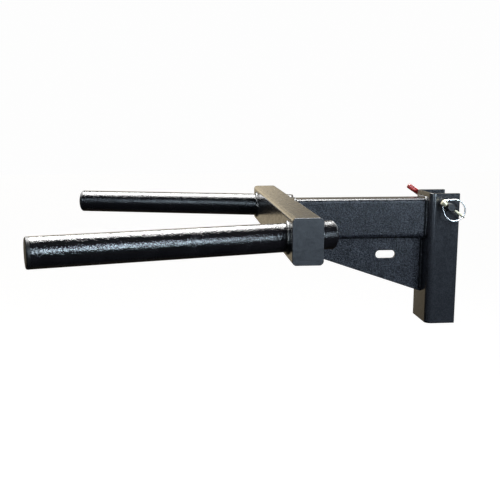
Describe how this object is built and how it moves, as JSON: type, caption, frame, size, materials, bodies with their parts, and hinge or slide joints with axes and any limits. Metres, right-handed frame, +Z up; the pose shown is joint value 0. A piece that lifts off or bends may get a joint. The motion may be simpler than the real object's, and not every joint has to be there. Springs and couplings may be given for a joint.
{
  "type": "dip bar attachment",
  "caption": "Rack-mounted dip station: a pinned channel bracket carries a gusseted arm, a crossbar and two round handles that spread apart.",
  "frame": {"origin": "on the hitch pin's axis, at the centre of the 2 by 3 inch upright that the bracket wraps", "axes": "+Z up along the upright, +Y from the user to the rack, +X to the right of a user who faces the rack"},
  "size_m": [0.7486, 0.7764, 0.2697],
  "materials": {
    "powder_coat_gloss": "gloss black powder coat with a fine wrinkle texture",
    "powder_coat_satin": "satin black powder coat with a sand texture",
    "weld_coated": "black powder coat over rippled weld",
    "cap_plastic": "satin black moulded plastic",
    "pin_black": "black oxide steel",
    "grip_red": "dipped red vinyl",
    "yellow_zinc": "yellow zinc plate",
    "spring_wire": "bright zinc-plated spring wire"
  },
  "bodies": {
    "frame": {"bracket_channel": "powder_coat_satin", "arm_tube": "powder_coat_satin", "gusset_plate": "powder_coat_satin", "crossbar_tube": "powder_coat_satin", "crossbar_end_plate_left": "powder_coat_satin", "crossbar_end_plate_right": "powder_coat_satin", "handle_tube_left": "powder_coat_gloss", "handle_tube_right": "powder_coat_gloss", "handle_end_cap_left": "cap_plastic", "handle_end_cap_right": "cap_plastic", "handle_rear_cap_left": "powder_coat_gloss", "handle_rear_cap_right": "powder_coat_gloss", "weld_arm_bracket": "weld_coated", "weld_arm_crossbar": "weld_coated", "weld_gusset_bracket": "weld_coated", "weld_gusset_arm": "weld_coated", "weld_gusset_crossbar": "weld_coated", "weld_handle_front_left": "weld_coated", "weld_handle_front_right": "weld_coated", "weld_handle_rear_left": "weld_coated", "weld_handle_rear_right": "weld_coated"},
    "hitch_pin": {"hitch_pin_shaft": "pin_black", "hitch_pin_handle": "pin_black", "hitch_pin_grip": "grip_red"},
    "lynch_pin": {"lynch_pin": "yellow_zinc"},
    "lynch_ring": {"lynch_ring": "spring_wire"}
  },
  "joints": [
    {"name": "hitch_pin_turn", "type": "hinge", "parent": "frame", "child": "hitch_pin", "pos_m": [0, 0, 0], "axis": [1, 0, 0], "continuous": true},
    {"name": "lynch_pin_pull", "type": "slide", "parent": "hitch_pin", "child": "lynch_pin", "axis": [0, -0.8241, 0.5664], "range_m": [0, 0.019]},
    {"name": "lynch_ring_flip", "type": "hinge", "parent": "lynch_pin", "child": "lynch_ring", "pos_m": [0.06245, -0.00989, 0.0068], "axis": [0, -0.5664, -0.8241], "range_deg": [0, 180]}
  ]
}
